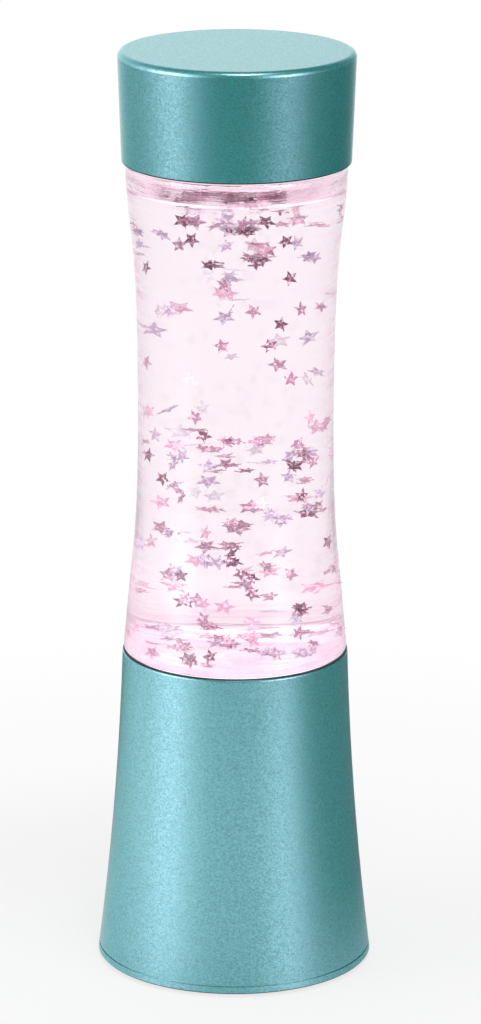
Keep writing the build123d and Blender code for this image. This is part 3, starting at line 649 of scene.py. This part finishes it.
def camera_axes():
    """The camera's right, up and forward directions."""
    forward = np.array([0.0, math.cos(CAMERA_PITCH), -math.sin(CAMERA_PITCH)])
    right = np.array([1.0, 0.0, 0.0])
    up = np.cross(right, forward)
    turn, lift = math.cos(CAMERA_ROLL), math.sin(CAMERA_ROLL)
    return turn * right + lift * up, turn * up - lift * right, forward


def seen_at(column, row, depth):
    """Point on the plane y = depth that the camera sees at a column and row of the photograph."""
    right, up, forward = camera_axes()
    ray = forward + right * (column - PHOTO_WIDTH / 2) / FOCAL_PIXELS
    ray += up * (PHOTO_HEIGHT / 2 - row) / FOCAL_PIXELS
    eye = np.array([CAMERA_SIDE, -CAMERA_DISTANCE, CAMERA_HEIGHT])
    return eye + ray * (depth - eye[1]) / ray[1]


def free_radius(height):
    """Radius that a star's centre may reach at heights, inside the bottle's wall."""
    return side_radius(height) - BOTTLE_WALL - STAR_RADIUS - FREE_GAP


def turns(draw, count, spread, flat=False):
    """Rotation matrices: a random spin, then two tilts drawn within a spread in radians, from lying
    flat or from upright, where an unspread star faces the viewer."""
    spin = draw.uniform(0.0, 2.0 * math.pi, count)
    tilt = draw.normal(0.0, spread, (count, 2))
    rise = 0.0 if flat else math.pi / 2
    matrices = [Matrix.Rotation(b, 3, "Z") @ Matrix.Rotation(rise + a, 3, "X") @ Matrix.Rotation(s, 3, "Z")
                for s, (a, b) in zip(spin, tilt)]
    return np.array([[list(row) for row in m] for m in matrices])


def star_template():
    """One thin star of two faces round a middle point, tips and waists by turns, curled like film:
    height rises with the square of one coordinate."""
    angle = np.arange(2 * STAR_TIPS) * math.pi / STAR_TIPS
    radius = np.where(np.arange(2 * STAR_TIPS) % 2, STAR_WAIST, 1.0)
    flat = np.vstack([[0.0, 0.0], np.stack([radius * np.cos(angle), radius * np.sin(angle)], axis=1)])
    rise = (flat[:, 0] ** 2)[:, None] * STAR_CURL / STAR_RADIUS
    half = STAR_THICKNESS / STAR_RADIUS / 2
    top = np.hstack([flat, rise + half])
    bottom = np.hstack([flat, rise - half])
    rim = 2 * STAR_TIPS
    faces = []
    for step in range(rim):
        here, there = 1 + step, 1 + (step + 1) % rim
        faces += [(0, here, there), (rim + 1, rim + 1 + there, rim + 1 + here)]
        faces += [(here, rim + 1 + here, rim + 1 + there, there)]
    return np.vstack([top, bottom]), faces


def placed_stars(draw):
    """Centres, rotations and kinds of the clear stars and those in clumps, near the front wall: each
    is moved back along its line of sight until it is in the liquid."""
    columns, rows, kinds, counts, across, rise = (np.array(column) for column in zip(*CLUMPS))
    own = np.repeat(np.arange(len(CLUMPS)), counts)
    jump = draw.uniform(-1.0, 1.0, (2, len(own)))
    clumped = np.stack([columns[own] + jump[0] * across[own], rows[own] + jump[1] * rise[own], kinds[own]])
    columns, rows, kinds = np.hstack([np.array(CLEAR_STARS).T, clumped])
    in_clump = np.arange(len(columns)) >= len(CLEAR_STARS)
    depths = -CLEAR_DEPTH + draw.uniform(0.0, CLUMP_SPREAD, len(columns)) * in_clump
    centres = []
    for column, row, share in zip(columns, rows, depths):
        depth = share * WAIST_RADIUS
        for _ in range(DEPTH_TRIES):
            centre = seen_at(column, row, depth)
            if np.hypot(centre[0], centre[1]) < free_radius(centre[2]):
                break
            depth *= DEPTH_STEP
        centres.append(centre)
    rotations = [turns(draw, len(CLEAR_STARS), CLEAR_TILT), turns(draw, len(own), CLUMP_TILT, True)]
    return np.array(centres), np.vstack(rotations), kinds


def loose_stars(draw, band):
    """Centres, rotations and kinds of a band's stars, drawn in where they would leave the liquid."""
    count = band["count"]
    lowest, highest = BOTTLE_FLOOR + STAR_RADIUS, LIQUID_LEVEL + FLOAT_RISE
    height = lowest + (highest - lowest) * draw.uniform(*band["levels"], count)
    reached = free_radius(height) * band["reach"]
    radius = reached * draw.uniform(0.0, 1.0, count) ** band.get("gather", USUAL_GATHER)
    angle = draw.uniform(0.0, 2.0 * math.pi, count)
    x, y = radius * np.cos(angle), radius * np.sin(angle)
    moved = draw.uniform(0.0, 1.0, count) < band["behind"]
    x = x + band.get("aside", 0.0) * WAIST_RADIUS
    y = np.where(moved, np.abs(y), y) * band.get("squeeze", 1.0) - band.get("forward", 0.0) * WAIST_RADIUS
    drawn_in = np.minimum(1.0, reached / band["reach"] / np.hypot(x, y))
    x, y = x * drawn_in, y * drawn_in
    rotations = turns(draw, count, band["spread"], band["flat"])
    front_kinds = draw.choice(len(STAR_KINDS), count, p=band.get("weights", FRONT_WEIGHTS))
    back_kinds = draw.choice(len(STAR_KINDS), count, p=BACK_WEIGHTS)
    return np.stack([x, y, height], axis=1), rotations, np.where(y > 0.0, back_kinds, front_kinds)


def make_stars(finishes):
    """One piece for each kind of star: the template turned and moved to each centre."""
    template, faces = star_template()
    draw = np.random.default_rng(STAR_SEED)
    groups = [placed_stars(draw)] + [loose_stars(draw, band) for band in LOOSE_BANDS]
    centres, rotations, kinds = (np.concatenate(parts) for parts in zip(*groups))
    for index, kind in enumerate(STAR_KINDS):
        mine = kinds == index
        points = np.einsum("nij,kj->nki", rotations[mine], template) * STAR_RADIUS
        points = (points + centres[mine][:, None, :]).reshape(-1, 3)
        shifted = [tuple(corner_index + copy * len(template) for corner_index in face)
                   for copy in range(int(mine.sum())) for face in faces]
        piece = new_piece(f"floating_stars_{kind}", points, shifted, False, finishes[kind])
        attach(piece, "root")
        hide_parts(f"stars_{kind}")


def dress(name, finish):
    """Give a CAD node a finish."""
    mesh = nodes[name].data
    mesh.materials.clear()
    mesh.materials.append(finish)


def make_floor():
    """Pale round floor that shows white to the camera and through glass, and keeps a soft shadow
    near the lamp: the white's share grows from its least at the lamp to one at the fade radius.
    Reflections see it as a painted glow instead, brightest in front and to the left, in a pool that
    fades along a direction."""
    radius, top, bottom, steps = 310.0 * MM, -0.1 * MM, -2.0 * MM, 96
    fade_radius, least_white = 220.0 * MM, 0.72
    least_pool_glow, more_pool_glow = 0.2, 0.95
    pool_fade, pool_edge = (4.0, 4.5, 0.0), 0.45
    pale, bright = (0.86, 0.86, 0.86, 1.0), (1.0, 1.0, 1.0, 1.0)
    sheet = Finish("floor_white")
    distance = sheet.vector("LENGTH", sheet.place(), output="Value")
    share = (distance / fade_radius * (1.0 - least_white) + least_white).at_most(1.0)
    behind = sheet.vector("DOT_PRODUCT", sheet.place(), pool_fade, output="Value")
    pool_glow = sheet.grey((pool_edge - behind).clamped() * more_pool_glow + least_pool_glow)
    matt = sheet.add("ShaderNodeBsdfDiffuse", {}, {"Color": pale})
    under = sheet.blend(sheet.ray("Glossy"), matt, sheet.glow(pool_glow))
    seen = sheet.ray("Camera") + sheet.ray("Transmission")
    white = sheet.surface(sheet.blend(seen * share, under, sheet.glow(bright)))
    points, faces = turned([[0.0, top], [radius, top], [radius, bottom], [0.0, bottom]], steps)
    floor = new_piece("floor", points, faces, False, white)


# Soft panels of the studio: azimuth from the camera's side, elevation, sharpness and strength
PANELS = (
    (-62.5, 8.0, 20.0, 6.9),
    (-88.0, 10.0, 8.0, 1.3),
    (-132.0, 10.0, 8.0, 0.5),
    (50.0, 10.0, 28.0, 7.9),
    (5.0, 8.0, 40.0, 0.2),
    (100.0, 5.0, 8.0, 0.12),
    (186.0, 2.0, 6.0, 1.25),
)
HORIZON_LOW = math.sin(math.radians(-21.5))
HORIZON_HIGH = math.sin(math.radians(-9.0))
DIM_ROOM = 0.04


def make_world():
    """White to the camera and through glass, a soft studio to everything else. Each panel's light is
    its strength times e to the power of sharpness times the cosine of the angle to it less one, and
    all of it fades out below the horizon."""
    world = bpy.data.worlds.new("studio")
    bpy.context.scene.world = world
    studio = Finish(world=world)
    direction = studio.place("Generated")
    light = 0.0
    for azimuth, elevation, sharpness, strength in PANELS:
        turn, rise = math.radians(azimuth), math.radians(elevation)
        towards = (math.cos(rise) * math.sin(turn), -math.cos(rise) * math.cos(turn), math.sin(rise))
        facing = studio.vector("DOT_PRODUCT", direction, towards, output="Value")
        light = facing.math("EXPONENT", (facing - 1.0) * sharpness) * strength + light
    fade = studio.add("ShaderNodeMapRange", {"interpolation_type": "SMOOTHSTEP"}, {
        "Value": studio.height(direction), "From Min": HORIZON_LOW, "From Max": HORIZON_HIGH})
    seen = (studio.ray("Camera") + studio.ray("Transmission")).at_most(1.0)
    level = (light * fade + DIM_ROOM) * (1.0 - seen) + seen
    studio.surface(studio.add("ShaderNodeBackground", {}, {"Color": studio.grey(level), "Strength": 1.0}))


def make_lamp():
    """Soft rectangular lamp high in front, for the shadow and the bright line on the rounded edges."""
    place, target = Vector((0.10, -0.36, 1.10)), Vector((0.0, 0.0, 0.12))
    width, depth, power = 0.30, 0.18, 5.0
    lamp = bpy.data.lights.new("front_top", "AREA")
    lamp.shape = "RECTANGLE"
    lamp.size, lamp.size_y = width, depth
    lamp.energy = power
    lamp.use_shadow = True
    holder = bpy.data.objects.new("front_top", lamp)
    bpy.context.scene.collection.objects.link(holder)
    holder.location = place
    holder.rotation_euler = (target - place).to_track_quat("-Z", "Y").to_euler()
    holder.visible_camera = False
    holder.visible_transmission = False


def make_camera():
    """Camera at the photograph's distance, height and pitch, with its slight roll."""
    camera = bpy.data.cameras.new("camera")
    camera.sensor_width = SENSOR
    camera.lens = FOCAL_PIXELS * SENSOR / PHOTO_HEIGHT
    camera.clip_start = NEAREST_SEEN
    holder = bpy.data.objects.new("camera", camera)
    bpy.context.scene.collection.objects.link(holder)
    right, up, forward = camera_axes()
    axes = Matrix((right, up, -forward)).transposed()
    holder.matrix_world = Matrix.Translation((CAMERA_SIDE, -CAMERA_DISTANCE, CAMERA_HEIGHT)) @ axes.to_4x4()
    bpy.context.scene.camera = holder


make_camera()
make_world()
make_lamp()
make_floor()

DRESSED = (
    (teal_paint("teal_paint_base", SOCKET_RADIUS, SOCKET_TOP, (RIM_PAINTED_SHADE, FOOT_PAINTED_SHADE)), ("base_shell",)),
    (teal_paint("teal_paint_cap", CAP_INNER_RADIUS, CAP_INNER_TOP, (LIP_PAINTED_SHADE,)), ("cap_shell",)),
    # The cap insert and stopper give off a painted glow, for the lamp's light that reaches them up the
    # bottle
    (lit("lit_plastic", colour(252, 230, 240), strength=0.7), ("cap_insert", "bottle_stopper")),
    (lit("light_dome", colour(255, 226, 240), strength=3.0, rough=0.15), ("leds",)),
    (lit("frosted_window", colour(255, 232, 243), strength=0.9), ("diffuser_window",)),
    (moulded("white_plastic", colour(226, 226, 222)), ("battery_box",)),
    (moulded("dark_plastic", colour(52, 92, 98), rough=0.5, grain=1500.0), ("base_plate", "battery_door")),
    (moulded("black_plastic", colour(28, 28, 30), rough=0.4),
     ("board_parts", "switch_body", "switch_slider")),
    (moulded("black_rubber", colour(34, 34, 36), rough=0.7, grain=1800.0), ("rubber_feet",)),
    (moulded("grey_rubber", colour(190, 190, 188), rough=0.7), ("stopper_seal",)),
    (moulded("board_green", colour(34, 104, 62), rough=0.35, grain=700.0), ("led_board",)),
    (moulded("red_sleeve", colour(178, 36, 34), rough=0.4), ("lead_wires",)),
    (plated("zinc", colour(196, 197, 200)), ("board_screws", "box_screws", "plate_screws", "door_screw")),
    (plated("nickel", colour(214, 210, 202), rough=0.2),
     ("roof_contacts", "roof_spring", "side_strip", "door_contacts", "door_springs")),
    (plated("cell_sleeve", colour(120, 128, 134), rough=0.35), ("battery_cells",)),
)
for cover, covered in DRESSED:
    for covered_node in covered:
        dress(covered_node, cover)

bottle = make_bottle(clear_bottle())
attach(bottle, "root")
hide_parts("bottle")
liquid = make_liquid(pink_liquid())
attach(liquid, "root")
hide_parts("liquid")
make_stars({
    "plum": glitter("plum_glitter", colour(100, 34, 68), colour(186, 136, 164), metallic=0.25),
    "mauve": glitter("mauve_glitter", colour(174, 124, 150), colour(228, 194, 213), metallic=0.25),
    "silver": glitter("silver_glitter", colour(190, 172, 198), colour(236, 228, 242), metallic=0.3),
    "pink": glitter("pink_glitter", colour(224, 172, 197), colour(250, 220, 232), metallic=0.2),
    "white": glitter("white_glitter", colour(226, 222, 232), colour(252, 250, 254), metallic=0.2),
})

bpy.context.scene.view_settings.view_transform = "Standard"
